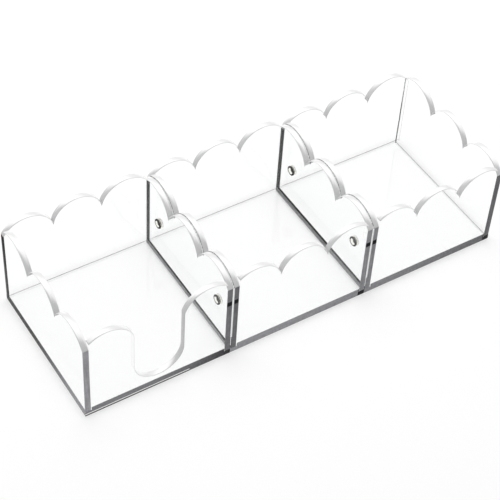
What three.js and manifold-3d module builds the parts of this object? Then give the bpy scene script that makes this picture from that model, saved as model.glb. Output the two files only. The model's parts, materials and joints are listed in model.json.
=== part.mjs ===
// Acrylic desk organizer: three open trays with scalloped walls, held side to side by magnets.
// Millimetres, +Z up. The origin is on the standing surface, under the middle of the row.
// The row runs along X, and the front with the finger cut-out faces -Y.
import * as THREE from 'three';
import { mergeVertices } from 'three/addons/utils/BufferGeometryUtils.js';
import Module from 'manifold-3d';

const wasm = await Module();
wasm.setup();

// Driving sizes of one tray
const tray_width = 89;
const tray_depth = 95;
const sheet_thickness = 3.5;
const corner_height = 53;

// Driving sizes of the scalloped edge: how far the lobes rise over the tray's corners, and how far
// the sharp valleys between them drop under the corners
const lobe_rise = 8;
const valley_drop = 4;

// Driving sizes of the finger cut-out: its floor over the top of the base sheet
const notch_floor_rise = 5.75;

// Driving sizes of the magnets and of the blind holes that they are glued into
const magnet_diameter = 6;
const magnet_thickness = 1;
const magnet_chamfer = 0.2;
const magnet_end_inset = 15;
const magnet_height = 29.5;
const glue_gap = 0.3;

// Air between two trays that stand side to side
const tray_gap = 0.3;

// Length by which a cutting tool overruns the face that it cuts
const cut_overrun = 1;

// Smoothness of the round parts, as segments of one arc or one turn
const lobe_segments = 20;
const notch_segments = 24;
const round_segments = 32;

// Heights that follow from the driving sizes
const wall_foot = sheet_thickness;
const peak_height = corner_height + lobe_rise;
const valley_height = corner_height - valley_drop;

// Materials
const clear_acrylic = new THREE.MeshStandardMaterial({
  color: 0xf2f6f7, roughness: 0.05, metalness: 0, transparent: true, opacity: 0.35,
});
const nickel_plate = new THREE.MeshStandardMaterial({
  color: 0xc9c9c6, roughness: 0.2, metalness: 1,
});

// The three lobes of a wall of a given full length. They meet in the valleys at its thirds, and each
// is an arc up to the peak height. The middle arc spans both valleys, and an outer arc runs from a
// valley to the corner of the tray. Its inset is the distance of its peak from that corner.
function lobeLayout(length) {
  const third = length / 3;
  const depth = lobe_rise + valley_drop;
  const rest = third * third + depth * valley_drop;
  const inset = rest / (third + Math.sqrt(third * third + rest * valley_drop / lobe_rise));
  const outer = (inset * inset + lobe_rise * lobe_rise) / (2 * lobe_rise);
  const middle = (third * third / 4 + depth * depth) / (2 * depth);
  return [
    { centre: inset - length / 2, radius: outer },
    { centre: 0, radius: middle },
    { centre: length / 2 - inset, radius: outer },
  ];
}

// Points of one lobe from start to end along the wall, without its first point
function lobePoints(lobe, start, end) {
  const from = Math.acos((start - lobe.centre) / lobe.radius);
  const to = Math.acos((end - lobe.centre) / lobe.radius);
  const points = [];
  for (let i = 1; i <= lobe_segments; i += 1) {
    const angle = from + (to - from) * i / lobe_segments;
    points.push(new THREE.Vector2(
      lobe.centre + lobe.radius * Math.cos(angle),
      peak_height - lobe.radius + lobe.radius * Math.sin(angle),
    ));
  }
  return points;
}

// Height of a lobe over a place along the wall
function lobeHeight(lobe, place) {
  const offset = place - lobe.centre;
  return peak_height - lobe.radius + Math.sqrt(lobe.radius * lobe.radius - offset * offset);
}

// Points of the finger cut-out's round bottom, from the left side to the right one, without the first
function notchPoints(halfWidth, centreHeight) {
  const points = [];
  for (let i = 1; i <= notch_segments; i += 1) {
    const angle = Math.PI + Math.PI * i / notch_segments;
    points.push(new THREE.Vector2(halfWidth * Math.cos(angle), centreHeight + halfWidth * Math.sin(angle)));
  }
  return points;
}

// Outline of a wall: lobes laid out over the tray's full length, cut at each end by the sheet of the
// wall that closes the corner there
function wallOutline(length, start_cut, end_cut, has_notch) {
  const [left, middle, right] = lobeLayout(length);
  const start = start_cut - length / 2;
  const end = length / 2 - end_cut;
  const valley = length / 6;
  const points = [
    new THREE.Vector2(start, wall_foot),
    new THREE.Vector2(start, lobeHeight(left, start)),
    ...lobePoints(left, start, -valley),
  ];
  if (has_notch) {
    const notchCentre = wall_foot + notch_floor_rise + valley;
    points.push(new THREE.Vector2(-valley, notchCentre));
    points.push(...notchPoints(valley, notchCentre));
    points.push(new THREE.Vector2(valley, valley_height));
  } else {
    points.push(...lobePoints(middle, -valley, valley));
  }
  points.push(...lobePoints(right, valley, end));
  points.push(new THREE.Vector2(end, wall_foot));
  return new THREE.Shape(points);
}

// A sheet cut to an outline, standing along X with its thickness from y = 0 to -sheet_thickness
function sheetAlongX(outline) {
  const geometry = new THREE.ExtrudeGeometry(outline, { depth: sheet_thickness, bevelEnabled: false });
  return geometry.rotateX(Math.PI / 2);
}

// The same sheet standing along Y with its thickness from x = 0 to +sheet_thickness
function sheetAlongY(outline) {
  return sheetAlongX(outline).rotateZ(Math.PI / 2);
}

// Manifold solid of a closed geometry
function toSolid(geometry) {
  const bare = geometry.clone();
  bare.deleteAttribute('normal');
  bare.deleteAttribute('uv');
  const merged = mergeVertices(bare);
  return new wasm.Manifold(new wasm.Mesh({
    numProp: 3,
    vertProperties: new Float32Array(merged.attributes.position.array),
    triVerts: new Uint32Array(merged.index.array),
  }));
}

// Geometry of a manifold solid
function toGeometry(solid) {
  const mesh = solid.getMesh();
  const geometry = new THREE.BufferGeometry();
  geometry.setAttribute('position', new THREE.BufferAttribute(new Float32Array(mesh.vertProperties), 3));
  geometry.setIndex(new THREE.BufferAttribute(new Uint32Array(mesh.triVerts), 1));
  geometry.computeVertexNormals();
  return geometry;
}

// Places of the two magnets of a mating wall along Y, named for the end that they are near
const magnet_places = {
  front: -tray_depth / 2 + magnet_end_inset,
  rear: tray_depth / 2 - magnet_end_inset,
};

// A side wall with a blind hole for each magnet, cut from its outer face at face_x towards inward
function drillMagnetHoles(wall, face_x, inward) {
  const depth = magnet_thickness + glue_gap;
  const radius = magnet_diameter / 2 + glue_gap;
  let solid = toSolid(wall);
  for (const place of Object.values(magnet_places)) {
    const tool = new THREE.CylinderGeometry(radius, radius, depth + cut_overrun, round_segments);
    tool.rotateZ(Math.PI / 2);
    tool.translate(face_x + inward * (depth - cut_overrun) / 2, place, magnet_height);
    solid = solid.subtract(toSolid(tool));
  }
  return toGeometry(solid);
}

// A disc magnet with its axis along X, from x = 0 to +magnet_thickness
function magnetGeometry() {
  const radius = magnet_diameter / 2;
  const profile = [
    new THREE.Vector2(0, 0),
    new THREE.Vector2(radius - magnet_chamfer, 0),
    new THREE.Vector2(radius, magnet_chamfer),
    new THREE.Vector2(radius, magnet_thickness - magnet_chamfer),
    new THREE.Vector2(radius - magnet_chamfer, magnet_thickness),
    new THREE.Vector2(0, magnet_thickness),
  ];
  return new THREE.LatheGeometry(profile, round_segments).rotateZ(-Math.PI / 2);
}

// One tray: its base, its four walls and the magnets of its mating walls
function makeTray(name, { has_notch, mates_left, mates_right }) {
  const tray = new THREE.Group();
  const half_width = tray_width / 2;
  const half_depth = tray_depth / 2;

  const add = (part, geometry, material, x, y, z) => {
    const mesh = new THREE.Mesh(geometry, material);
    mesh.name = `${name}_${part}`;
    mesh.position.set(x, y, z);
    tray.add(mesh);
  };

  const plate = new THREE.BoxGeometry(tray_width, tray_depth, sheet_thickness);
  add('base', plate, clear_acrylic, 0, 0, sheet_thickness / 2);

  // The front wall stands between the side walls, and the back wall closes both their rear ends
  const front = wallOutline(tray_width, sheet_thickness, sheet_thickness, has_notch);
  add('front_wall', sheetAlongX(front), clear_acrylic, 0, sheet_thickness - half_depth, 0);
  const back = wallOutline(tray_width, 0, 0, false);
  add('back_wall', sheetAlongX(back), clear_acrylic, 0, half_depth, 0);

  const side = wallOutline(tray_depth, 0, sheet_thickness, false);
  const leftWall = sheetAlongY(side);
  const rightWall = sheetAlongY(side);
  const leftSheet = mates_left ? drillMagnetHoles(leftWall, 0, 1) : leftWall;
  const rightSheet = mates_right ? drillMagnetHoles(rightWall, sheet_thickness, -1) : rightWall;
  add('left_wall', leftSheet, clear_acrylic, -half_width, 0, 0);
  add('right_wall', rightSheet, clear_acrylic, half_width - sheet_thickness, 0, 0);

  for (const [end, place] of Object.entries(magnet_places)) {
    if (mates_left) {
      add(`left_${end}_magnet`, magnetGeometry(), nickel_plate, -half_width, place, magnet_height);
    }
    if (mates_right) {
      const x = half_width - magnet_thickness;
      add(`right_${end}_magnet`, magnetGeometry(), nickel_plate, x, place, magnet_height);
    }
  }
  return tray;
}

// The row of three trays
const organizer = new THREE.Group();
const tray_pitch = tray_width + tray_gap;

const left_tray = makeTray('left_tray', { has_notch: true, mates_left: false, mates_right: true });
left_tray.position.x = -tray_pitch;
organizer.add(left_tray);

const middle_tray = makeTray('middle_tray', { has_notch: false, mates_left: true, mates_right: true });
organizer.add(middle_tray);

const right_tray = makeTray('right_tray', { has_notch: false, mates_left: true, mates_right: false });
right_tray.position.x = tray_pitch;
organizer.add(right_tray);

export default organizer;
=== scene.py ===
"""Acrylic desk organizer: three clear trays with scalloped walls in a row, held by magnets.

Every sheet of the trays and every magnet is built here with softened rims and a finish of its own,
in the place of its CAD node. Lengths are in metres, +Z is up, and the front of the row faces -Y.
"""

import json
import math

import bpy
import numpy as np
from bpy.props import FloatProperty, FloatVectorProperty, IntProperty, PointerProperty
from bpy.types import Operator, Panel, PropertyGroup
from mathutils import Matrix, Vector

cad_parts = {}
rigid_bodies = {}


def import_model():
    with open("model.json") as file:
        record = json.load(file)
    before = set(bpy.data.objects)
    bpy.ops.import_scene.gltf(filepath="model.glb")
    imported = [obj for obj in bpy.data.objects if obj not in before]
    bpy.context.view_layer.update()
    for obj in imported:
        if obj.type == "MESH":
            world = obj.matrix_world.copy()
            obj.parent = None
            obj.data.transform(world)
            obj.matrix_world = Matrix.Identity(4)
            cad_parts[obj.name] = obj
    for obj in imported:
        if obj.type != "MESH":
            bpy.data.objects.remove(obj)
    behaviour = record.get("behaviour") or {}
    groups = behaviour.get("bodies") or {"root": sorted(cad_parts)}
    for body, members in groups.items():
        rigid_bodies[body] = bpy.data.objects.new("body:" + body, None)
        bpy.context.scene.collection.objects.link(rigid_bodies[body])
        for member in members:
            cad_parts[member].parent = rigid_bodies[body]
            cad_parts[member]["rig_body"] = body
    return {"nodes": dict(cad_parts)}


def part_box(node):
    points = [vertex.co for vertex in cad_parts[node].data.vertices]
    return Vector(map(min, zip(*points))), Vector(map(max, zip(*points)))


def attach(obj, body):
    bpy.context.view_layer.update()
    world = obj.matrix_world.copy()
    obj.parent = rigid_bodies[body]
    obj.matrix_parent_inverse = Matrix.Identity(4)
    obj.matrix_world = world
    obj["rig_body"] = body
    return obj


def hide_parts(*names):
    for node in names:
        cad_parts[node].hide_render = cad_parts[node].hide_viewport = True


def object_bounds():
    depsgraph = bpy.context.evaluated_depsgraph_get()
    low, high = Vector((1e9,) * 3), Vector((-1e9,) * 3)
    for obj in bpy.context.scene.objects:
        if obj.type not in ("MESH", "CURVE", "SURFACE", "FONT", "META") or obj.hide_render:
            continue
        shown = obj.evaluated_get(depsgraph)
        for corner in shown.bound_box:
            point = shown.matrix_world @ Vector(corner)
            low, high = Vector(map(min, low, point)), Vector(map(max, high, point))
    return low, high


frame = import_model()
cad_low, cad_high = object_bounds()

bl_info = {
    "name": "Acrylic Desk Organizer",
    "version": (1, 0, 0),
    "blender": (4, 5, 0),
    "location": "View3D > Sidebar > Organizer",
    "description": "Builds a row of clear scalloped trays with magnets, and a white stage for it",
    "category": "Add Mesh",
}

MM = 0.001
TRAYS = ("left_tray", "middle_tray", "right_tray")
TRAY_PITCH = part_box("middle_tray_base")[0].x - cad_low.x

# Side walls that meet another tray's wall, with magnets let into their outer faces
MATING_WALLS = (
    "left_tray_right_wall",
    "middle_tray_left_wall",
    "middle_tray_right_wall",
    "right_tray_left_wall",
)

# Kinds of surface on a sheet, in the order of sheet_finishes
FACE, SCALLOP, CUT_END, BOND, MATED_END, MATED_FOOT, OPEN_JOINT, GLUED, MATED_RIM = range(9)
LINED_END, MATED_FACE, BASE_END, MAGNET_END = range(9, 13)

# Straight steps of a sheet's and of a magnet's rounded rim
RIM_STEPS, MAGNET_RIM_STEPS = 3, 5
# Faces that meet at more than this are shaded with a sharp edge
SHARP_ANGLE = math.radians(50)

# Share of light that acrylic mirrors face on, and the power of its rise towards a glance. The usual
# power is 5, and 12 veils what is behind a sheet as little as the real trays do
FACE_ON_SHARE, GLANCE_POWER = 0.04, 12.0
# How clear an edge is from inside its sheet, and the share of light that it passes on to the floor
CLEAR_END, CLEAR_SCALLOP, EDGE_PASSES = 0.97, 0.9, 0.45

# Rays that carry light to other surfaces, from lamps and from all round
LIT_RAYS = ("Is Shadow Ray", "Is Diffuse Ray")
# Rays that show a surface directly, in metal or through the sheets
SEEN_RAYS = ("Is Camera Ray", "Is Glossy Ray", "Is Transmission Ray")

# Range that most of a noise lies in
NOISE_RANGE = {"From Min": 0.3, "From Max": 0.7}

# Painted shade of the scalloped edge by its slope, for the light that its top lets out and the dark
# depth that its flanks show: from -1, a flank that faces front or left, over 0, level, to 1, a
# flank that faces back or right
SCALLOP_PAINTED_SHADES = (
    (-0.95, "#cbcbcc"),
    (-0.74, "#cccccd"),
    (-0.67, "#d8d8d9"),
    (-0.59, "#e7e7e7"),
    (-0.5, "#f7f7f7"),
    (-0.38, "#fdfdfd"),
    (-0.08, "#fdfdfd"),
    (0.1, "#efefef"),
    (0.22, "#e6e6e6"),
    (0.41, "#e2e2e2"),
    (0.59, "#f2f2f2"),
    (0.8, "#fafafa"),
    (1.0, "#e0e0e0"),
)

# Places along Y between which the painted shade of cut ends goes from its colour at the back to the
# one at the front
END_BACK, END_FRONT = 0.42 * cad_high.y, 1.1 * cad_low.y
# Lengths along X over which the painted shade of cut ends darkens: all along the row, and on walls
# with magnets
ROW_FADE, MAGNET_WALL_FADE = 310 * MM, 108 * MM
# Bands of painted light and shade on cut ends, as their middle and half width: a painted floor
# reflection and a painted contact shadow as lines, painted shade at the corner, and a painted
# highlight at the gap. The lines are measured down from the top of the base sheet, the corner's
# shade from the left of a tray, and the gap from the row's middle
FLOOR_REFLECTION_LINE, CONTACT_SHADOW_LINE = (1.95 * MM, 0.45 * MM), (2.95 * MM, 0.55 * MM)
CORNER_SHADE = (87.0 * MM, 2.3 * MM)
GAP_GLEAM = (TRAY_PITCH / 2, 0.55 * MM)
MAGNET_MARK_HALF = 1.6 * MM
# Height from which the gap has its painted highlight, and the share of the left tray's width that
# has the painted lines
GLEAM_FROM, LINED_SHARE = 13 * MM, 0.71

# How far the stage's floor lies under the trays, so that it touches no underside
FLOOR_GAP = 0.1 * MM


def linear(hex_colour):
    """Linear RGB of an sRGB hex colour: c / 12.92 to 0.04045, else ((c + 0.055) / 1.055) ^ 2.4."""
    srgb = np.array([int(hex_colour[i : i + 2], 16) for i in (1, 3, 5)]) / 255
    curve = np.where(srgb <= 0.04045, srgb / 12.92, ((srgb + 0.055) / 1.055) ** 2.4)
    return tuple(float(c) for c in curve)


# Shapes


def lobe_arcs(length, corner, valley, peak):
    """Centres and radii of a wall's three lobes, for a wall whose middle is at 0.

    All arcs top out at the peak height and meet in valleys at the wall's thirds. The middle arc
    spans a chord of one third, whose sagitta is peak - valley. An outer arc passes through a valley
    and the corner, so the distance c of its peak from the corner solves c^2 + rise^2 = 2 rise r
    together with (third - c)^2 + depth^2 = 2 depth r.
    """
    third = length / 3
    rise, depth = peak - corner, peak - valley
    rest = third**2 + depth * (depth - rise)
    inset = rest / (third + math.sqrt(third**2 + rest * (depth - rise) / rise))
    outer = (inset**2 + rise**2) / (2 * rise)
    middle = (third**2 / 4 + depth**2) / (2 * depth)
    return ((inset - length / 2, outer), (0.0, middle), (length / 2 - inset, outer))


def arc(centre, radius, peak, start, end, steps):
    """Points of the arc x = centre + r cos a, z = peak - r + r sin a, from x = start to x = end."""
    first, last = (math.acos((x - centre) / radius) for x in (start, end))
    angle = np.linspace(first, last, steps + 1)
    return np.stack([centre + radius * np.cos(angle), peak - radius + radius * np.sin(angle)], 1)


def wall_outline(length, start, end, ends, foot, split, notch_floor, sizes):
    """Outline of a standing sheet, anticlockwise from its lower start corner, and each edge's kind.

    It runs along the foot, up the end, over the lobes back to the start, and down. Where
    notch_floor is given, a slot with a half-round floor takes the middle lobe's place. Both ends
    have a point at the top of the foot band and one at the height split, where a cap with magnet
    holes is divided. ends has the kinds of the start and of the end.
    """
    peak, steps = sizes.peak_height, sizes.arc_steps
    left, middle, right = lobe_arcs(length, sizes.corner_height, sizes.valley_height, peak)
    valley = length / 6
    band = foot + sizes.foot_band
    low = [(start, foot), (end, foot), (end, band), (end, split)]
    top = [arc(*right, peak, end, valley, steps)]
    if notch_floor is None:
        top.append(arc(*middle, peak, valley, -valley, steps)[1:])
    else:
        turn = np.linspace(0, -math.pi, steps + 1)
        centre = notch_floor + valley
        top.append(np.stack([valley * np.cos(turn), centre + valley * np.sin(turn)], 1))
        top.append([(-valley, sizes.valley_height)])
    top.append(arc(*left, peak, -valley, start, steps)[1:])
    points = np.concatenate([low, *top, [(start, split), (start, band)]])
    kinds = np.full(len(points), SCALLOP)
    kinds[0] = BOND
    kinds[[1, 2, 3]] = ends[1]
    kinds[[-3, -2, -1]] = ends[0]
    return points, kinds


def plate_outline(low, high, mates_left, mates_right, front):
    """Outline of a flat rectangular sheet, anticlockwise from its front left corner.

    Every edge is a cut end of the base, apart from mated ends where it meets another tray. front is
    the kind of the front edge.
    """
    points = np.array([(low[0], low[1]), (high[0], low[1]), (high[0], high[1]), (low[0], high[1])])
    right, left = (MATED_END if mates else BASE_END for mates in (mates_right, mates_left))
    return points, np.array([front, right, BASE_END, left])


def sheet_rings(points, thickness, rim, rounded):
    """Rings of points round a sheet: outline point - inset * mitre at each depth through the sheet.

    The mitre of a point is (n0 + n1) / (1 + n0 . n1), with the outward normals of its two edges.
    The insets and depths follow a quarter circle of radius rim at each side that is rounded: inset
    = rim (1 - sin a), depth = rim (1 - cos a). Returns an array of rings by points by (along, up,
    depth).
    """
    ahead = np.roll(points, -1, 0) - points
    ahead /= np.linalg.norm(ahead, axis=1, keepdims=True)
    normal = np.stack([ahead[:, 1], -ahead[:, 0]], 1)
    before = np.roll(normal, 1, 0)
    mitre = (before + normal) / (1 + (before * normal).sum(1, keepdims=True))
    angle = np.linspace(0, math.pi / 2, RIM_STEPS + 1)
    quarter = np.stack([rim * (1 - np.sin(angle)), rim * (1 - np.cos(angle))])
    near, far = (quarter if side else np.zeros((2, 1)) for side in rounded)
    inset = np.concatenate([near[0], far[0][::-1]])
    depth = np.concatenate([near[1], thickness - far[1][::-1]])
    flat = points[None] - inset[:, None, None] * mitre[None]
    return np.concatenate([flat, np.broadcast_to(depth[:, None, None], (*flat.shape[:2], 1))], 2)


def half_turns(holes, sign):
    """Half circles from one side of each hole to the other: sign +1 goes over it, and -1 under it.

    A point is (centre + r cos t, height + sign r sin t), with t from pi to 0.
    """
    turn = np.linspace(math.pi, 0, holes["steps"] // 2 + 1)
    across = np.array(holes["centres"])[:, None] + holes["radius"] * np.cos(turn)[None]
    rise = sign * holes["radius"] * np.sin(turn)
    up = np.broadcast_to(holes["height"] + rise[None], across.shape)
    return np.stack([across, up], 2)


def holed_cap(edge, first, near, far, holes):
    """Divides a cap with blind holes into two faces, which meet on the line through the holes.

    Each hole is a circle of points at the depth near, its mouth, and one at the depth far, its
    floor. edge is the cap's outline, and first the number of the first new point. Returns the new
    points, the two faces, the floors, and the quads of the round walls.
    """
    over, under = half_turns(holes, 1), half_turns(holes, -1)
    circles = np.concatenate([over, under[:, -2:0:-1]], 1)
    count, around = circles.shape[:2]
    flat = circles.reshape(-1, 2)
    points = [np.insert(flat, 2, depth, axis=1) for depth in (near, far)]
    mouth = first + np.arange(count * around).reshape(count, around)
    floor = mouth + count * around
    half = around // 2
    over_path = mouth[:, : half + 1].ravel()
    under_path = np.concatenate([mouth[:, :1], mouth[:, : half - 1 : -1]], 1).ravel()
    upper = np.concatenate([edge[-2:-1], over_path, edge[3:-2]])
    lower = np.concatenate([edge[[-2, -1, 2, 3]], under_path[::-1]])
    walls = np.stack([mouth, np.roll(mouth, -1, 1), np.roll(floor, -1, 1), floor], 2)
    return points, (upper, lower), [f[::-1] for f in floor], walls.reshape(-1, 4)


def sheet_mesh(
    name, points, kinds, thickness, rim, place,
    rounded=(True, True), foot=None, holes=None, mated=False,
):
    """Mesh of a sheet: rings carried through its thickness, closed by two flat caps.

    place turns (along, up, depth) into the row frame. foot gives the cap that has a foot band of
    its own, and the band's kind. holes gives the centres, radius, height, depth and steps of the
    blind holes that open on that cap. Where mated is set, that cap and the rounded rim of its
    scallops meet those of another tray, and the sheet's faces have no line over the foot.
    """
    rings = sheet_rings(points, thickness, rim, rounded)
    if foot:
        # The foot is bonded to the base sheet, so it has no rounded rim
        rings[:, :2, 1] = points[0, 1]
    rows, count = rings.shape[:2]
    verts = [rings.reshape(-1, 3)]
    index = np.arange(rows * count).reshape(rows, count)
    after = np.roll(index, -1, 1)
    quads = np.stack([index[:-1], index[1:], after[1:], after[:-1]], 2)
    faces = quads.reshape(-1, 4).tolist()
    slots = np.repeat(kinds[None], rows - 1, 0)
    if mated:
        rounding = slice(0, RIM_STEPS) if foot[0] == 0 else slice(-RIM_STEPS, None)
        slots[rounding, kinds == SCALLOP] = MATED_RIM
    slots = slots.ravel().tolist()
    smooth = [True] * len(faces)
    face = MATED_FACE if mated else FACE
    for cap, edge in enumerate((index[0], index[-1])):
        flats, walls = [(edge, face)], []
        if foot and foot[0] == cap:
            band = (edge[[0, 1, 2, -1]], foot[1])
            flats = [band, (edge[2:], face)]
            if holes:
                mouth, inwards = (0.0, 1) if cap == 0 else (thickness, -1)
                floor = mouth + inwards * holes["depth"]
                more, halves, floors, walls = holed_cap(edge, rows * count, mouth, floor, holes)
                verts += more
                flats = [band] + [(f, face) for f in halves] + [(f, GLUED) for f in floors]
        turn = 1 if cap == 0 else -1
        faces += [f[::turn].tolist() for f in (*(flat for flat, kind in flats), *walls)]
        slots += [kind for flat, kind in flats] + [GLUED] * len(walls)
        smooth += [False] * len(flats) + [True] * len(walls)
    local = np.concatenate(verts)
    mesh = bpy.data.meshes.new(name)
    mesh.from_pydata(place(local), [], faces)
    mesh.polygons.foreach_set("material_index", slots)
    mesh.polygons.foreach_set("use_smooth", smooth)
    mesh.set_sharp_from_angle(angle=SHARP_ANGLE)
    lay_uv(mesh, local, points, rows, count)
    mesh.validate()
    return mesh


def loop_points(mesh):
    """The number of the point at each corner of each face."""
    corner = np.zeros(len(mesh.loops), int)
    mesh.loops.foreach_get("vertex_index", corner)
    return corner


def lay_uv(mesh, local, points, rows, count):
    """UV in metres: length along the outline by depth on the rims, and along by up on the caps.

    It gives every finish a real scale, and lets a cut mark run straight through the thickness.
    """
    step = np.linalg.norm(np.roll(points, -1, 0) - points, axis=1)
    run = np.concatenate([[0], np.cumsum(step)])
    corner = loop_points(mesh)
    face = np.repeat(np.arange(len(mesh.polygons)), [p.loop_total for p in mesh.polygons])
    on_rim = face < (rows - 1) * count
    column = corner % count
    wraps = on_rim & (column == 0) & (face % count == count - 1)
    along = np.where(wraps, run[-1], run[column])
    u = np.where(on_rim, along, local[corner, 0])
    v = np.where(on_rim, local[corner, 2], local[corner, 1])
    layer = mesh.uv_layers.new(name="sheet")
    layer.data.foreach_set("uv", np.stack([u, v], 1).ravel())


def disc_mesh(name, radius, thickness, rounding, steps, place, outer):
    """Mesh of a disc: a profile of two rounded corners carried round its axis.

    The profile goes from the centre of one face over a quarter circle of the given rounding, along
    the side, and back to the centre of the other face, and each of its points is a ring
    (r cos t, r sin t, depth). Its first and last rings close on one point each. outer is the number
    of the open face, 0 or 1. The other one is glued, and the side goes with face 1. The UV map is
    (r cos t, r sin t) in metres.
    """
    angle = np.linspace(0, math.pi / 2, MAGNET_RIM_STEPS + 1)
    # Two rings between the middle of a face and its rounded rim
    inner = np.array([0.35, 0.7]) * radius
    r = np.concatenate([inner, radius - rounding * (1 - np.sin(angle))])
    d = np.concatenate([np.zeros(len(inner)), rounding * (1 - np.cos(angle))])
    side = len(r) - 1
    r, d = np.concatenate([r, r[::-1]]), np.concatenate([d, thickness - d[::-1]])
    turn = np.linspace(0, 2 * math.pi, steps, endpoint=False)
    depth = np.broadcast_to(d[:, None], (len(r), steps))
    rings = np.stack([r[:, None] * np.cos(turn)[None], r[:, None] * np.sin(turn)[None], depth], 2)
    rows = len(r)
    index = np.arange(rows * steps).reshape(rows, steps)
    after = np.roll(index, -1, 1)
    quads = np.stack([index[:-1], index[1:], after[1:], after[:-1]], 2).reshape(-1, 4)
    poles = np.array([[0, 0, 0], [0, 0, thickness]], float)
    near = np.stack([np.full(steps, rows * steps), index[0], after[0]], 1)
    far = np.stack([np.full(steps, rows * steps + 1), after[-1], index[-1]], 1)
    mesh = bpy.data.meshes.new(name)
    local = np.concatenate([rings.reshape(-1, 3), poles])
    mesh.from_pydata(place(local), [], quads.tolist() + near.tolist() + far.tolist())
    band = np.repeat([*range(rows - 1), -1, rows], steps)
    glued = band >= side if outer == 0 else band < side
    mesh.polygons.foreach_set("material_index", np.where(glued, 1, 0))
    mesh.polygons.foreach_set("use_smooth", [True] * len(mesh.polygons))
    mesh.set_sharp_from_angle(angle=SHARP_ANGLE)
    layer = mesh.uv_layers.new(name="disc")
    layer.data.foreach_set("uv", local[loop_points(mesh), :2].ravel())
    mesh.validate()
    return mesh


def standing(origin, along):
    """A function that puts (along, up, depth) in place for a sheet that stands along X or Y.

    Depth runs away from the cap that along x up points out of: towards +Y for a sheet along X, and
    towards -X for a sheet along Y.
    """
    up = np.array((0, 0, 1.0))
    direction = np.array({"X": (1.0, 0, 0), "Y": (0, 1.0, 0)}[along])
    axes = np.stack([direction, up, -np.cross(direction, up)])
    return lambda local: np.array(origin) + local @ axes


def lying(top):
    """A function that puts (x, y, depth) in place for a flat sheet, whose depth runs down."""
    return lambda local: (0, 0, top) + local * (1, 1, -1)


def put(data, place=(0, 0, 0), turn=(0, 0, 0)):
    """Puts an object of a mesh, light or camera into the scene, under the name of its data."""
    made = bpy.data.objects.new(data.name, data)
    made.location, made.rotation_euler = place, turn
    bpy.context.scene.collection.objects.link(made)
    return made


def put_in_row(mesh, node, finishes):
    """Puts a mesh in the row with the finishes it uses, and lets it stand for its CAD node."""
    piece = put(mesh)
    kinds = np.zeros(len(mesh.polygons), int)
    mesh.polygons.foreach_get("material_index", kinds)
    used, slots = np.unique(kinds, return_inverse=True)
    for kind in used:
        mesh.materials.append(finishes[kind])
    mesh.polygons.foreach_set("material_index", slots)
    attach(piece, frame["nodes"][node]["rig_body"])
    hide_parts(node)


# Finishes


def add(tree, kind, inputs=(), **settings):
    """Adds a node with its settings, and gives its inputs their values, in order or by name.

    An input is linked where its value is a socket, or a node, which stands for its first output.
    """
    made = tree.nodes.new(kind)
    for name, value in settings.items():
        setattr(made, name, value)
    for key, value in inputs.items() if isinstance(inputs, dict) else enumerate(inputs):
        if isinstance(value, bpy.types.Node):
            value = value.outputs[0]
        if isinstance(value, bpy.types.NodeSocket):
            tree.links.new(value, made.inputs[key])
        else:
            made.inputs[key].default_value = value
    return made


def new_finish(name, paint, *settings):
    """A node material that shows the shader which the function paint makes in its tree."""
    finish = bpy.data.materials.new(name)
    finish.use_nodes = True
    tree = finish.node_tree
    tree.nodes.clear()
    add(tree, "ShaderNodeOutputMaterial", {"Surface": paint(tree, *settings)})
    return finish


def mirrored_share(tree):
    """Share of light that polished acrylic mirrors: 4 % face on, and all of it at a glance.

    It is f + (1 - f) w^12, where w is 0 face on and 1 edge on, and it is the same from both sides.
    """
    glance = add(tree, "ShaderNodeLayerWeight", {"Blend": 0.5}).outputs["Facing"]
    steep = add(tree, "ShaderNodeMath", [glance, GLANCE_POWER], operation="POWER")
    return add(tree, "ShaderNodeMapRange", {"Value": steep, "To Min": FACE_ON_SHARE, "To Max": 1.0})


def rays(tree, kinds):
    """1 for a ray of any of the kinds, by their names in Light Path, else 0."""
    path = add(tree, "ShaderNodeLightPath").outputs
    found = path[kinds[0]]
    for kind in kinds[1:]:
        found = add(tree, "ShaderNodeMath", [found, path[kind]], operation="MAXIMUM")
    return found


def clear_from_behind(tree, shader, share):
    """Lets an edge show where it is seen from outside, and hardly from inside the clear sheet.

    From inside, a polished edge mirrors the sheet's own clear depth, so it looks like nothing at
    all. An edge looks grey, but it is clear too, and passes nearly half of the light on to the
    floor.
    """
    behind = add(tree, "ShaderNodeNewGeometry").outputs["Backfacing"]
    hidden = add(tree, "ShaderNodeMath", [behind, share], operation="MULTIPLY")
    passed = add(tree, "ShaderNodeMath", [rays(tree, LIT_RAYS), EDGE_PASSES], operation="MULTIPLY")
    amount = add(tree, "ShaderNodeMath", [hidden, passed], operation="MAXIMUM")
    clear = add(tree, "ShaderNodeBsdfTransparent")
    return add(tree, "ShaderNodeMixShader", [amount, shader, clear])


def film(tree, share, under, colour, roughness, looks):
    """Lets a share of a surface show in a colour of its own, over what is under it."""
    skin = {"Base Color": (*colour, 1), "Roughness": roughness, "IOR": looks.sheet_ior}
    body = add(tree, "ShaderNodeBsdfPrincipled", skin)
    return add(tree, "ShaderNodeMixShader", [share, under, body])


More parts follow.
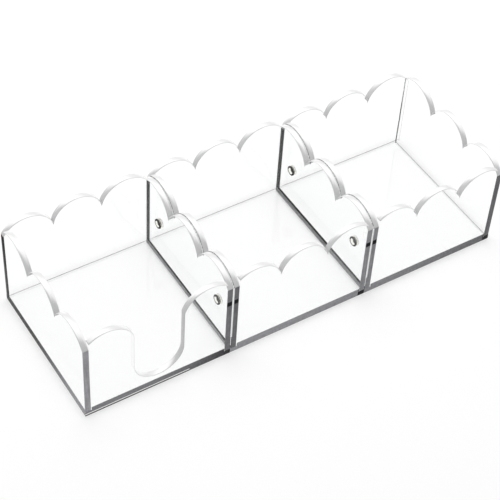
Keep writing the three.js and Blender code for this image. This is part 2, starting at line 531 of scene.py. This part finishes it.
def cast_acrylic(tree, looks, lined):
    """Cast acrylic sheet (PMMA), polished on both faces: almost colourless and mirror-smooth.

    A flat sheet passes light straight on, so what is behind it shows in its place, with a very
    faint veil. Casting leaves a slow ripple, and handling leaves a few hairline scuffs, so that
    what it mirrors is calm but not dead flat. What its two faces mirror away from one side of the
    sheet comes back from the other side, so it dims the light round it by nothing, and casts no
    shadow. On a lined sheet, the joint under the outer face shows through the wall as a thin grey
    line, 0.5 mm high and a little over the foot. It is seen from inside the tray only.
    """
    where = add(tree, "ShaderNodeTexCoord").outputs["Object"]
    # Ripple about 40 mm across
    ripple_scale = {"Vector": where, "Scale": 1 / (40 * MM), "Detail": 1.0}
    ripple = add(tree, "ShaderNodeTexNoise", ripple_scale)
    bump = add(tree, "ShaderNodeBump", {"Height": ripple, "Strength": 0.1, "Distance": 0.4 * MM})
    # Level scuffs about 4 mm long and 0.08 mm wide, which is a few times wider than real ones
    size = (1 / (4 * MM), 1 / (4 * MM), 1 / (0.08 * MM))
    stretch = add(tree, "ShaderNodeMapping", {"Vector": where, "Scale": size})
    scuff = add(tree, "ShaderNodeTexNoise", {"Vector": stretch, "Scale": 1.0, "Detail": 2.0})
    rough = add(
        tree,
        "ShaderNodeMapRange",
        {"Value": scuff, "From Min": 0.6, "From Max": 0.8, "To Min": 0.02, "To Max": 0.2},
    )
    skin = add(
        tree,
        "ShaderNodeBsdfAnisotropic",
        {"Color": (*looks.sheet_colour, 1), "Roughness": rough, "Normal": bump},
    )
    clear = add(tree, "ShaderNodeBsdfTransparent", {"Color": (*looks.sheet_tint, 1)})
    sheet = add(tree, "ShaderNodeMixShader", [mirrored_share(tree), clear, skin])
    if lined:
        height = add(tree, "ShaderNodeSeparateXYZ", [where]).outputs["Z"]
        line_place = [height, looks.joint_line_height, 0.25 * MM]
        level = add(tree, "ShaderNodeMath", line_place, operation="COMPARE")
        behind = add(tree, "ShaderNodeNewGeometry").outputs["Backfacing"]
        line = add(tree, "ShaderNodeMath", [level, behind], operation="SUBTRACT", use_clamp=True)
        sheet = film(tree, line, sheet, looks.joint_line_colour, 0.3, looks)
    through = add(tree, "ShaderNodeBsdfTransparent")
    return add(tree, "ShaderNodeMixShader", [rays(tree, LIT_RAYS), sheet, through])


def marks(tree, along_mm, across_mm):
    """Marks of a given length along the edge and across the sheet's thickness, from 0 to 1."""
    where = add(tree, "ShaderNodeUVMap", uv_map="sheet")
    size = (1 / (along_mm * MM), 1 / (across_mm * MM), 1.0)
    stretch = add(tree, "ShaderNodeMapping", {"Vector": where, "Scale": size})
    return add(tree, "ShaderNodeTexNoise", {"Vector": stretch, "Scale": 1.0, "Detail": 2.0})


def set_stops(ramp, shades):
    """Gives a ramp its stops, from (place from -1 to 1, hex colour)."""
    elements = ramp.color_ramp.elements
    while len(elements) < len(shades):
        elements.new(0.5)
    for element, (place, shade) in zip(elements, shades):
        element.position = (place + 1) / 2
    for element, (place, shade) in zip(elements, shades):
        element.color = (*linear(shade), 1)


def glossy_edge(tree, paint, fine, low, high, gloss, looks):
    """Acrylic skin over a painted depth, which fine marks make rougher, from low to high."""
    worn = {"Value": fine, **NOISE_RANGE, "To Min": low, "To Max": high}
    rough = add(tree, "ShaderNodeMapRange", worn)
    bump = add(tree, "ShaderNodeBump", {"Height": fine, "Strength": 0.12, "Distance": 0.05 * MM})
    return add(
        tree,
        "ShaderNodeBsdfPrincipled",
        {
            "Base Color": paint,
            "Roughness": rough,
            "IOR": looks.sheet_ior,
            "Specular IOR Level": gloss,
            "Normal": bump,
        },
    )


def scallop_painted_shade(tree, looks):
    """Flame-polished scalloped edge with painted light and shade: white on top, and grey on the
    flanks that face front and left.

    The painted shade stands for the sheet gathering light over its whole width and letting it out
    upwards, which makes the top of the edge bright, while a flank shows the dark depth of the
    sheet. The shade follows the slope of the edge itself: the sum of the normal's X and Y parts,
    from -1 (front or left) to 1. The flame draws soft strokes along the edge, about 12 mm long and
    0.8 mm wide.
    """
    normal = add(tree, "ShaderNodeTexCoord").outputs["Normal"]
    # Half the slope and the strokes, which lie round 0.5, add up to the place on the ramp
    halved = [normal, (0.5, 0.5, 0.0)]
    slope = add(tree, "ShaderNodeVectorMath", halved, operation="DOT_PRODUCT").outputs["Value"]
    strokes = {"Value": marks(tree, 12, 0.8), **NOISE_RANGE, "To Min": 0.45, "To Max": 0.55}
    stroke = add(tree, "ShaderNodeMapRange", strokes)
    place = add(tree, "ShaderNodeMath", [slope, stroke], operation="ADD")
    # Painted shade: the ramp makes the top of the edge white and its front and left flanks grey
    ramp = add(tree, "ShaderNodeValToRGB", [place])
    set_stops(ramp, SCALLOP_PAINTED_SHADES)
    skin = glossy_edge(tree, ramp, marks(tree, 0.5, 4), 0.12, 0.3, 0.5, looks)
    return clear_from_behind(tree, skin, CLEAR_SCALLOP)


def end_bands(tree, detail, place, normal, from_left, along, looks):
    """Bands over a cut end, as (measure, middle, half width, colour), and the share that shows.

    lines: a painted reflection of the floor as a bright line 0.9 mm wide, and a painted contact
    shadow as a dark line 1.1 mm wide under it, along the first 0.71 of the tray.
    magnet: the first magnet is painted as a dark mark 3.2 mm high where it shows through the end of
    its wall, and a painted highlight makes the end bright within 0.4 mm of the other tray, from 13
    mm up. Below that, 1 is taken off the measure.
    corner: in each tray, painted shade makes the last 4.4 mm of a front edge dark, under the end of
    the side wall.
    """
    # Painted highlight and painted dark for the bands: reflection, contact shadow, gleam, corner
    # shade and the magnet seen through
    bright, dark = looks.painted_highlight_colour, looks.painted_dark_colour
    if detail == "lines":
        flat = add(tree, "ShaderNodeUVMap", uv_map="sheet")
        down = add(tree, "ShaderNodeSeparateXYZ", [flat]).outputs["Y"]
        share = add(tree, "ShaderNodeMath", [along, LINED_SHARE], operation="LESS_THAN")
        return [(down, *FLOOR_REFLECTION_LINE, bright), (down, *CONTACT_SHADOW_LINE, dark)], share
    if detail == "magnet":
        across = add(tree, "ShaderNodeMath", [place["X"]], operation="ABSOLUTE")
        below = add(tree, "ShaderNodeMath", [place["Z"], GLEAM_FROM], operation="LESS_THAN")
        beside = add(tree, "ShaderNodeMath", [across, below], operation="SUBTRACT")
        mark = (place["Z"], looks.magnet_mark_height, MAGNET_MARK_HALF, dark)
        return [mark, (beside, *GAP_GLEAM, bright)], 1.0
    if detail == "corner":
        within = add(tree, "ShaderNodeMath", [from_left, TRAY_PITCH], operation="MODULO")
        share = add(tree, "ShaderNodeMath", [normal["Y"], -0.5], operation="LESS_THAN")
        return [(within, *CORNER_SHADE, dark)], share
    return [], 1.0


def cut_end(tree, looks, back_colour, front_colour, pitch, detail=None):
    """Straight edge as the laser leaves it: a glossy band with fine marks across it, painted a grey
    that stands for shade.

    The painted shade stands for the dark depth of the whole sheet seen end on. It is darker towards
    the back of the row, and towards the right of each pitch along the row by 1 - 0.9 t^3, with t =
    fraction of (x - left) / pitch. An edge that faces right or back is painted an even grey
    instead, for the lamp that it mirrors. The laser pulses some ten times a millimetre, which is
    too fine to show, so its marks are drawn 0.5 mm apart. Broader strokes run along the edge, about
    15 mm long and 1 mm wide.
    """
    where = add(tree, "ShaderNodeTexCoord").outputs
    place = add(tree, "ShaderNodeSeparateXYZ", [where["Object"]]).outputs
    normal = add(tree, "ShaderNodeSeparateXYZ", [where["Normal"]]).outputs
    away = add(tree, "ShaderNodeMath", [normal["X"], normal["Y"]], operation="MAXIMUM")
    # Painted reflection: an edge that faces right or back keeps an even grey, for the lamp that it
    # mirrors
    turned = {"Value": away, "From Min": 0.3, "From Max": 0.6, "To Max": 0.8}
    even = add(tree, "ShaderNodeMapRange", turned)
    # Painted shade: darker towards the back of the row
    depth = add(
        tree,
        "ShaderNodeMapRange",
        {"Value": place["Y"], "From Min": END_BACK, "From Max": END_FRONT},
        interpolation_type="SMOOTHSTEP",
    )
    front = add(tree, "ShaderNodeMath", [depth, even], operation="MAXIMUM")
    mixed = {"Factor": front, "A": (*back_colour, 1), "B": (*front_colour, 1)}
    colour = add(tree, "ShaderNodeMix", mixed, data_type="RGBA").outputs["Result"]
    # Counted from just left of the row, so that its left end isn't taken for the end of a pitch
    left = cad_low.x - 0.1 * MM
    from_left = add(tree, "ShaderNodeMath", [place["X"], left], operation="SUBTRACT")
    pitches = add(tree, "ShaderNodeMath", [from_left, pitch], operation="DIVIDE")
    along = add(tree, "ShaderNodeMath", [pitches], operation="FRACT")
    cubed = add(tree, "ShaderNodeMath", [along, 3.0], operation="POWER")
    # Painted shade: darker towards the right of each pitch
    shade_to_right = add(tree, "ShaderNodeMapRange", {"Value": cubed, "To Min": 1.0, "To Max": 0.1})
    right = add(tree, "ShaderNodeMath", [shade_to_right, even], operation="MAXIMUM")
    fine = marks(tree, 0.5, 4)
    both = add(tree, "ShaderNodeMath", [fine, marks(tree, 15, 1)], operation="MULTIPLY")
    tone = add(
        tree,
        "ShaderNodeMapRange",
        {"Value": both, "From Min": 0.1, "From Max": 0.4, "To Min": 0.75, "To Max": 1.25},
    )
    shade = add(tree, "ShaderNodeMath", [tone, right], operation="MULTIPLY")
    paint = add(tree, "ShaderNodeVectorMath", {0: colour, "Scale": shade}, operation="SCALE")
    bands, share = end_bands(tree, detail, place, normal, from_left, along, looks)
    for measure, middle, half, band_colour in bands:
        inside = add(tree, "ShaderNodeMath", [measure, middle, half], operation="COMPARE")
        factor = add(tree, "ShaderNodeMath", [inside, share], operation="MULTIPLY")
        mixed = {"Factor": factor, "A": paint, "B": (*band_colour, 1)}
        paint = add(tree, "ShaderNodeMix", mixed, data_type="RGBA").outputs["Result"]
    skin = glossy_edge(tree, paint, fine, 0.2, 0.4, 0.05, looks)
    return clear_from_behind(tree, skin, CLEAR_END)


def mated_rim(tree, looks):
    """Rims of two scallops that meet: painted shade in the crack between them shows as a dark line.

    The rims touch only here and there, so the line is broken into dark and light dashes, about 1 mm
    long.
    """
    crack = {"Value": marks(tree, 1.0, 40), "From Min": 0.42, "From Max": 0.6}
    dash = add(tree, "ShaderNodeMapRange", crack)
    mixed = {"Factor": dash, "A": (*looks.crack_shade_colour, 1), "B": (*looks.mated_shade_colour, 1)}
    colour = add(tree, "ShaderNodeMix", mixed, data_type="RGBA").outputs["Result"]
    skin = glossy_edge(tree, colour, dash, 0.3, 0.5, 0.2, looks)
    return clear_from_behind(tree, skin, CLEAR_SCALLOP)


def clear_bond(tree, looks):
    """Joint filled with solvent or clear glue: nothing mirrors in it, apart from a faint haze.

    The haze is made of small bubbles about 1 mm apart.
    """
    where = add(tree, "ShaderNodeUVMap", uv_map="sheet")
    bubble = add(tree, "ShaderNodeTexVoronoi", {"Vector": where, "Scale": 1 / MM})
    haze = add(
        tree,
        "ShaderNodeMapRange",
        {"Value": bubble, "From Min": 0.1, "From Max": 0.3, "To Min": 0.06, "To Max": 0.02},
    )
    clear = add(tree, "ShaderNodeBsdfTransparent")
    return film(tree, haze, clear, looks.bond_colour, 0.5, looks)


def open_joint(tree, looks):
    """Bonded joint with a hairline that the solvent did not fill, along the inner corner.

    The film of air in it mirrors the dark inside of the sheet, and that reflection is painted as a
    thin dark line.
    """
    flat = add(tree, "ShaderNodeUVMap", uv_map="sheet")
    deep = add(tree, "ShaderNodeSeparateXYZ", [flat]).outputs["Y"]
    # The hairline lies from 2.3 to 3.2 mm deep in the sheet, and wavers by 0.1 mm to either side
    wave = {"Value": marks(tree, 6, 40), **NOISE_RANGE, "To Min": -0.1 * MM, "To Max": 0.1 * MM}
    waver = add(tree, "ShaderNodeMapRange", wave)
    depth = add(tree, "ShaderNodeMath", [deep, waver], operation="ADD")
    inside = add(tree, "ShaderNodeMath", [depth, 2.75 * MM, 0.45 * MM], operation="COMPARE")
    clear = add(tree, "ShaderNodeBsdfTransparent")
    # Painted reflection: the hairline of air is painted as a dark film
    return film(tree, inside, clear, looks.air_line_colour, 0.3, looks)


def nickel_plate(tree, looks, glued):
    """Nickel-plated magnet: bright warm-grey metal with a satin, finely ground skin.

    On the face that is glued in, painted shade lies all over it further than about 2 mm from the
    middle, for the shade in the hole round it, and a painted dark reflection lies in a spot about
    3.2 mm wide off the middle.
    """
    where = add(tree, "ShaderNodeTexCoord").outputs["Object"]
    # Grinding marks about 1.7 mm long and 0.15 mm apart, which is wider than real ones
    stretch = add(tree, "ShaderNodeMapping", {"Vector": where, "Scale": (600.0, 600.0, 6500.0)})
    grind = add(tree, "ShaderNodeTexNoise", {"Vector": stretch, "Scale": 1.0, "Detail": 3.0})
    ground = {"Value": grind, **NOISE_RANGE}
    rough = add(tree, "ShaderNodeMapRange", {**ground, "To Min": 0.12, "To Max": 0.26})
    tone = add(tree, "ShaderNodeMapRange", {**ground, "To Min": 0.92, "To Max": 1.04})
    toned = {0: tuple(looks.nickel_colour), "Scale": tone}
    paint = add(tree, "ShaderNodeVectorMath", toned, operation="SCALE")
    bump = add(tree, "ShaderNodeBump", {"Height": grind, "Strength": 0.1, "Distance": 0.02 * MM})
    body = add(
        tree,
        "ShaderNodeBsdfPrincipled",
        {"Base Color": paint, "Metallic": 1.0, "Roughness": rough, "Normal": bump},
    )
    if not glued:
        return body
    disc = add(tree, "ShaderNodeUVMap", uv_map="disc")
    spot_place = [disc, looks.dark_reflection_place]
    off = add(tree, "ShaderNodeVectorMath", spot_place, operation="DISTANCE").outputs["Value"]
    radius = add(tree, "ShaderNodeVectorMath", [disc], operation="LENGTH").outputs["Value"]
    spot = {"Value": off, "From Min": 1.75 * MM, "From Max": 1.5 * MM}
    rim = {"Value": radius, "From Min": 1.9 * MM, "From Max": 2.1 * MM}
    ends = [add(tree, "ShaderNodeMapRange", spot), add(tree, "ShaderNodeMapRange", rim)]
    shade_mask = add(tree, "ShaderNodeMath", ends, operation="MAXIMUM")
    # Painted shade round the rim and painted dark reflection in the spot, in a dark matt paint
    glue = add(tree, "ShaderNodeBsdfDiffuse", {"Color": (*looks.magnet_shade_colour, 1)})
    return add(tree, "ShaderNodeMixShader", [shade_mask, body, glue])


def white_paper(tree, look):
    """Matt white paper, with a grain about 1 mm across.

    It adds the backdrop's white for the rays that show it, and so keeps the shadows on it.
    """
    where = add(tree, "ShaderNodeTexCoord").outputs["Object"]
    grain = add(tree, "ShaderNodeTexNoise", {"Vector": where, "Scale": 900.0, "Detail": 2.0})
    bump = add(tree, "ShaderNodeBump", {"Height": grain, "Strength": 0.05, "Distance": 0.1 * MM})
    matt = {"Color": (*look.floor_colour, 1), "Normal": bump}
    paper = add(tree, "ShaderNodeBsdfDiffuse", matt)
    shown = [rays(tree, SEEN_RAYS), look.floor_glow]
    glow = add(tree, "ShaderNodeMath", shown, operation="MULTIPLY")
    white = add(tree, "ShaderNodeEmission", {"Strength": glow})
    return add(tree, "ShaderNodeAddShader", [paper, white])


def sheet_finishes(looks):
    """The finishes of a sheet, in the order of the kinds of surface, made once."""
    back, front = looks.end_shade_at_back, looks.end_shade_at_front
    mated, foot, left_tray = looks.mated_shade_colour, looks.gap_shadow_colour, looks.left_tray_end_shade
    finishes = (
        ("cast_acrylic_sheet", cast_acrylic, True),
        ("flame_polished_scallop", scallop_painted_shade),
        ("laser_cut_end", cut_end, back, front, ROW_FADE),
        ("solvent_bonded_joint", clear_bond),
        ("mated_cut_end", cut_end, mated, mated, ROW_FADE),
        # The foot of a mated wall is painted with the shadow in the gap between two trays
        ("mated_wall_foot", cut_end, foot, foot, ROW_FADE),
        ("unfilled_joint", open_joint),
        ("clear_glue_film", clear_bond),
        ("mated_scallop_rim", mated_rim),
        ("lined_laser_cut_end", cut_end, back, left_tray, TRAY_PITCH, "lines"),
        ("cast_acrylic_mated_sheet", cast_acrylic, False),
        ("base_sheet_cut_end", cut_end, back, front, ROW_FADE, "corner"),
        ("magnet_wall_cut_end", cut_end, back, front, MAGNET_WALL_FADE, "magnet"),
    )
    made = bpy.data.materials
    return [
        made.get(name) or new_finish(name, paint, looks, *rest) for name, paint, *rest in finishes
    ]


# Settings


def colour_setting(name, description, hex_colour):
    """A colour that a user can change, from its sRGB hex colour."""
    kind = {"default": linear(hex_colour), "subtype": "COLOR", "min": 0, "max": 1}
    return FloatVectorProperty(name=name, description=description, **kind)


def length_setting(name, description, default):
    """A length that a user can change, in metres."""
    return FloatProperty(name=name, description=description, default=default, unit="LENGTH")


class OrganizerSheetSettings(PropertyGroup):
    """Sizes of the sheets that the trays are bonded from."""

    corner_height: length_setting(
        "Corner height", "Height of a wall's scalloped edge at the tray's corners", 53 * MM
    )
    valley_height: length_setting(
        "Valley height", "Height of the sharp valleys between two lobes", 49 * MM
    )
    peak_height: length_setting("Peak height", "Height of the top of every lobe", cad_high.z)
    notch_floor: length_setting(
        "Cut-out floor", "Height of the lowest point of the finger cut-out", 9.25 * MM
    )
    foot_band: length_setting(
        "Foot band",
        "Height of the band over a wall's foot that shows the base sheet's cut edge",
        2.1 * MM,
    )
    rim: length_setting("Rim", "Radius to which the sheets' sharp rims are softened", 0.3 * MM)
    hole_diameter: length_setting(
        "Hole diameter", "Diameter of the blind holes that the magnets are glued into", 6.6 * MM
    )
    hole_depth: length_setting("Hole depth", "Depth of the blind holes", 1.3 * MM)
    arc_steps: IntProperty(
        name="Arc steps", description="Straight steps in one lobe", default=56, min=8
    )
    hole_steps: IntProperty(
        name="Hole steps", description="Straight steps round a blind hole", default=64, min=12
    )


class OrganizerMagnetSettings(PropertyGroup):
    """Shape of the magnets, whose diameter and thickness come from the frame."""

    rounding: length_setting("Rounding", "Radius of a magnet's rounded rim", 0.2 * MM)
    steps: IntProperty(
        name="Steps", description="Straight steps round a magnet", default=72, min=12
    )


class OrganizerLooksSettings(PropertyGroup):
    """Colours and optical values of the finishes."""

    sheet_colour: colour_setting("Sheet", "Colour of what the clear sheet mirrors", "#fbfcfc")
    sheet_tint: FloatVectorProperty(
        name="Sheet tint",
        description="Share of each colour that one face of the clear sheet lets through",
        default=(0.997, 0.998, 0.998),
        subtype="COLOR",
        min=0,
        max=1,
    )
    sheet_ior: FloatProperty(
        name="Sheet IOR", description="Index of refraction of acrylic", default=1.49, min=1, max=2
    )
    bond_colour: colour_setting("Bond", "Colour of the faint haze in a bonded joint", "#e8e8ea")
    # Painted shade of the straight cut edges: dark at the back of the row and light at the front
    end_shade_at_back: colour_setting(
        "Cut edge at the back", "Colour of the straight cut edges at the back of the row", "#1e1e20"
    )
    end_shade_at_front: colour_setting(
        "Cut edge at the front",
        "Colour of the straight cut edges at the front of the row",
        "#a6a6aa",
    )
    # Painted shade: the left tray's front edge is darker, for the shade of the notes stacked in
    # that tray
    left_tray_end_shade: colour_setting(
        "Left tray's front edge",
        "Colour of the cut edge along the front of the left tray",
        "#8e8e92",
    )
    # Painted shade of a cut edge where two trays meet, which also gives the light dashes along the
    # crack between their scallops
    mated_shade_colour: colour_setting(
        "Mated cut edge", "Colour of a base sheet's cut edge where two trays meet", "#bdbdbf"
    )
    # Painted shadow in the gap between two trays, on the foot of a wall there
    gap_shadow_colour: colour_setting(
        "Mated wall foot", "Colour of the foot of a wall where two trays meet", "#1c1c1e"
    )
    # Painted shade in the crack between the scallops of two trays
    crack_shade_colour: colour_setting(
        "Crack", "Colour of the crack between the scallops of two trays", "#4a4a4c"
    )
    joint_line_colour: colour_setting(
        "Joint line", "Colour of the line that a joint shows through a wall", "#9a9a9c"
    )
    joint_line_height: length_setting(
        "Joint line height", "Height of the line that a joint shows through a wall", 5.6 * MM
    )
    # Painted highlight: the floor's reflection along the left tray's front edge, and the gleam at
    # the gap between trays
    painted_highlight_colour: colour_setting(
        "Bright line", "Colour of the bright line along the left tray's front edge", "#fcfcfc"
    )
    # Painted dark: the contact shadow under the painted highlight, the shade at the front corners,
    # and the magnet seen through the end of its wall
    painted_dark_colour: colour_setting(
        "Dark line", "Colour of the dark line under the bright one", "#1a1a1c"
    )
    magnet_mark_height: length_setting(
        "Magnet mark height",
        "Height at which a magnet shows through the front end of its wall",
        41.5 * MM,
    )
    # Painted reflection of the sheet's dark inside, in the hairline of air of an unfilled joint
    air_line_colour: colour_setting(
        "Unfilled joint", "Colour of the hairline of air in a bonded joint", "#2a2a2c"
    )
    nickel_colour: colour_setting("Nickel", "Colour of the magnets' nickel plate", "#fdfcf4")
    # Painted shade and painted dark reflection on a magnet's glued face
    magnet_shade_colour: colour_setting("Magnet glue", "Colour of the glue round a magnet", "#0b0a08")
    # Place of the painted dark reflection on a magnet's glued face, from its middle
    dark_reflection_place: FloatVectorProperty(
        name="Glue spot",
        description="Place of the spot of glue on a magnet's inner face, from its middle",
        default=(-1.7 * MM, 1.8 * MM, 0),
        subtype="XYZ",
        unit="LENGTH",
    )


class OrganizerStageSettings(PropertyGroup):
    """Camera, floor and lights."""

    camera_place: FloatVectorProperty(
        name="Camera place",
        description="Where the camera stands",
        default=(-349.46 * MM, -501.62 * MM, 666.72 * MM),
        subtype="TRANSLATION",
        unit="LENGTH",
    )
    camera_turn: FloatVectorProperty(
        name="Camera turn",
        description="How the camera is turned, as XYZ angles",
        default=tuple(math.radians(a) for a in (43.073, -2.7917, -31.6074)),
        subtype="EULER",
        unit="ROTATION",
    )
    lens: FloatProperty(
        name="Lens",
        description="Focal length for a 36 mm wide sensor, in mm",
        default=112.794,
        min=1,
    )
    floor_reach: length_setting("Floor reach", "Distance of the floor's sides from its middle", 4.0)
    floor_colour: colour_setting("Floor", "Colour of the floor", "#dcdcdc")
    floor_glow: FloatProperty(
        name="Floor glow",
        description="White that the floor adds where it is seen, to reach the backdrop's white",
        default=0.235,
        min=0,
        max=1,
    )
    sky_strength: FloatProperty(
        name="Sky strength",
        description="Strength of the even light from all round",
        default=0.82,
        min=0,
    )
    key_power: FloatProperty(
        name="Key power",
        description="Power of the softbox over the floor",
        default=8.0,
        min=0,
        unit="POWER",
    )
    key_place: FloatVectorProperty(
        name="Key place",
        description="Where the softbox hangs",
        default=(0.1, 0.35, 1.1),
        subtype="TRANSLATION",
        unit="LENGTH",
    )
    key_tilt: FloatProperty(
        name="Key tilt",
        description="Angle by which the softbox leans towards the row",
        default=math.radians(16),
        unit="ROTATION",
    )


# Operators


def hole_rows(node):
    """Centres along Y and the height of the magnets in a side wall, read from the frame."""
    tray = node.rsplit("_", 2)[0]
    side = "right" if node.endswith("right_wall") else "left"
    boxes = [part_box(f"{tray}_{side}_{end}_magnet") for end in ("front", "rear")]
    centres = [(low.y + high.y) / 2 for low, high in boxes]
    height = (boxes[0][0].z + boxes[0][1].z) / 2
    return centres, height


def build_sheet(context, node, outline, thickness, place, **details):
    """Builds a sheet from its outline and its edges' kinds, and puts it in its CAD node's place."""
    rim, looks = context.scene.organizer_sheets.rim, context.scene.organizer_looks
    mesh = sheet_mesh(f"{node}_acrylic", *outline, thickness, rim, place, **details)
    put_in_row(mesh, node, sheet_finishes(looks))


class ORGANIZER_OT_bases(Operator):
    """Builds the base sheets of the trays"""

    bl_idname = "organizer.bases"
    bl_label = "Base Sheets"

    def execute(self, context):
        for tray in TRAYS:
            node = f"{tray}_base"
            low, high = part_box(node)
            mates = [f"{tray}_{side}_wall" in MATING_WALLS for side in ("left", "right")]
            front = LINED_END if tray == "left_tray" else BASE_END
            outline = plate_outline(low, high, *mates, front)
            # Its upper rim is bonded to the walls, so only the lower one is rounded
            place, rounded = lying(high.z), (False, True)
            build_sheet(context, node, outline, high.z - low.z, place, rounded=rounded)
        return {"FINISHED"}


class ORGANIZER_OT_cross_walls(Operator):
    """Builds the front and back walls of the trays"""

    bl_idname = "organizer.cross_walls"
    bl_label = "Front and Back Walls"

    def execute(self, context):
        sizes = context.scene.organizer_sheets
        for tray in TRAYS:
            base_low, base_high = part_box(f"{tray}_base")
            width, middle = base_high.x - base_low.x, (base_low.x + base_high.x) / 2
            for side in ("front", "back"):
                node = f"{tray}_{side}_wall"
                low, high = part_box(node)
                start, end = low.x - middle, high.x - middle
                ends = (BOND, BOND) if side == "front" else (CUT_END, CUT_END)
                notch = sizes.notch_floor if node == "left_tray_front_wall" else None
                split = sizes.corner_height / 2
                outline = wall_outline(width, start, end, ends, low.z, split, notch, sizes)
                place = standing((middle, low.y, 0), "X")
                foot = (0 if side == "front" else 1, BASE_END if notch is None else LINED_END)
                build_sheet(context, node, outline, high.y - low.y, place, foot=foot)
        return {"FINISHED"}


class ORGANIZER_OT_side_walls(Operator):
    """Builds the side walls of the trays, with blind magnet holes where two trays meet"""

    bl_idname = "organizer.side_walls"
    bl_label = "Side Walls"

    def execute(self, context):
        sizes = context.scene.organizer_sheets
        for tray in TRAYS:
            base_low, base_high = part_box(f"{tray}_base")
            depth = base_high.y - base_low.y
            for side in ("left", "right"):
                node = f"{tray}_{side}_wall"
                low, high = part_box(node)
                mated = node in MATING_WALLS
                split, holes = sizes.corner_height / 2, None
                if mated:
                    centres, split = hole_rows(node)
                    holes = {
                        "centres": centres,
                        "height": split,
                        "radius": sizes.hole_diameter / 2,
                        "depth": sizes.hole_depth,
                        "steps": sizes.hole_steps,
                    }
                ends = (
                    MAGNET_END if mated else CUT_END,
                    OPEN_JOINT if node == "right_tray_right_wall" else BOND,
                )
                outline = wall_outline(depth, low.y, high.y, ends, low.z, split, None, sizes)
                details = {
                    "foot": (0 if side == "right" else 1, MATED_FOOT if mated else BASE_END),
                    "holes": holes,
                    "mated": mated,
                }
                place = standing((high.x, 0, 0), "Y")
                build_sheet(context, node, outline, high.x - low.x, place, **details)
        return {"FINISHED"}


class ORGANIZER_OT_magnets(Operator):
    """Builds the nickel-plated disc magnets"""

    bl_idname = "organizer.magnets"
    bl_label = "Magnets"

    def execute(self, context):
        sizes, looks = context.scene.organizer_magnets, context.scene.organizer_looks
        finishes = [
            new_finish("nickel_plated_magnet", nickel_plate, looks, False),
            new_finish("glued_nickel_plate_painted_shade", nickel_plate, looks, True),
        ]
        for node in sorted(n for n in frame["nodes"] if n.endswith("_magnet")):
            low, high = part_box(node)
            radius, thickness = (high.y - low.y) / 2, high.x - low.x
            place = standing((high.x, (low.y + high.y) / 2, (low.z + high.z) / 2), "Y")
            outer = 0 if "tray_right_" in node else 1
            shape = (radius, thickness, sizes.rounding, sizes.steps, place, outer)
            mesh = disc_mesh(f"{node}_nickel", *shape)
            put_in_row(mesh, node, finishes)
        return {"FINISHED"}


class ORGANIZER_OT_stage(Operator):
    """Builds the white floor, the soft lights, the white surroundings and the camera"""

    bl_idname = "organizer.stage"
    bl_label = "Stage"

    def execute(self, context):
        scene, look = context.scene, context.scene.organizer_stage
        scene.view_settings.view_transform = "Standard"
        # A view along the row passes some forty clear surfaces
        scene.cycles.transparent_max_bounces = 64

        mesh = bpy.data.meshes.new("floor")
        reach, level = look.floor_reach, cad_low.z - FLOOR_GAP
        corners = [(-reach, -reach), (reach, -reach), (reach, reach), (-reach, reach)]
        mesh.from_pydata([(x, y, level) for x, y in corners], [], [(0, 1, 2, 3)])
        mesh.materials.append(new_finish("white_paper_sweep", white_paper, look))
        put(mesh)

        # Surroundings: even soft light, and plain white for the rays that show them
        scene.world = bpy.data.worlds.new("white_studio")
        scene.world.use_nodes = True
        tree = scene.world.node_tree
        tree.nodes.clear()
        shares = {"Value": rays(tree, SEEN_RAYS), "To Min": look.sky_strength, "To Max": 1.0}
        strength = add(tree, "ShaderNodeMapRange", shares)
        sky = add(tree, "ShaderNodeBackground", {"Strength": strength})
        add(tree, "ShaderNodeOutputWorld", {"Surface": sky})

        # Softbox over the floor, a little behind the row
        light = bpy.data.lights.new("softbox", "AREA")
        light.shape = "RECTANGLE"
        light.size, light.size_y = 1.2, 0.9
        light.energy = look.key_power
        box = put(light, look.key_place, (-look.key_tilt, 0, 0))
        box.visible_camera = box.visible_glossy = box.visible_transmission = False

        lens = bpy.data.cameras.new("camera")
        lens.lens = look.lens
        lens.sensor_width = 36
        lens.clip_start, lens.clip_end = 0.01, 20
        scene.camera = put(lens, look.camera_place, look.camera_turn)
        return {"FINISHED"}


class ORGANIZER_PT_panel(Panel):
    """Lists the pieces and the stage"""

    bl_idname = "ORGANIZER_PT_panel"
    bl_label = "Desk Organizer"
    bl_space_type = "VIEW_3D"
    bl_region_type = "UI"
    bl_category = "Organizer"

    def draw(self, context):
        for operator in OPERATORS:
            self.layout.operator(operator.bl_idname)
        for name in SETTINGS:
            column = self.layout.column()
            group = getattr(context.scene, name)
            for key in group.bl_rna.properties.keys():
                if key not in ("rna_type", "name"):
                    column.prop(group, key)


OPERATORS = (
    ORGANIZER_OT_bases,
    ORGANIZER_OT_cross_walls,
    ORGANIZER_OT_side_walls,
    ORGANIZER_OT_magnets,
    ORGANIZER_OT_stage,
)
SETTINGS = {
    "organizer_sheets": OrganizerSheetSettings,
    "organizer_magnets": OrganizerMagnetSettings,
    "organizer_looks": OrganizerLooksSettings,
    "organizer_stage": OrganizerStageSettings,
}


def register():
    for cls in (*SETTINGS.values(), *OPERATORS, ORGANIZER_PT_panel):
        bpy.utils.register_class(cls)
    for name, cls in SETTINGS.items():
        setattr(bpy.types.Scene, name, PointerProperty(type=cls))


def unregister():
    for name in SETTINGS:
        delattr(bpy.types.Scene, name)
    for cls in (ORGANIZER_PT_panel, *reversed(OPERATORS), *reversed(SETTINGS.values())):
        bpy.utils.unregister_class(cls)


def main():
    register()
    bpy.ops.organizer.bases()
    bpy.ops.organizer.cross_walls()
    bpy.ops.organizer.side_walls()
    bpy.ops.organizer.magnets()
    bpy.ops.organizer.stage()


if __name__ == "__main__":
    main()
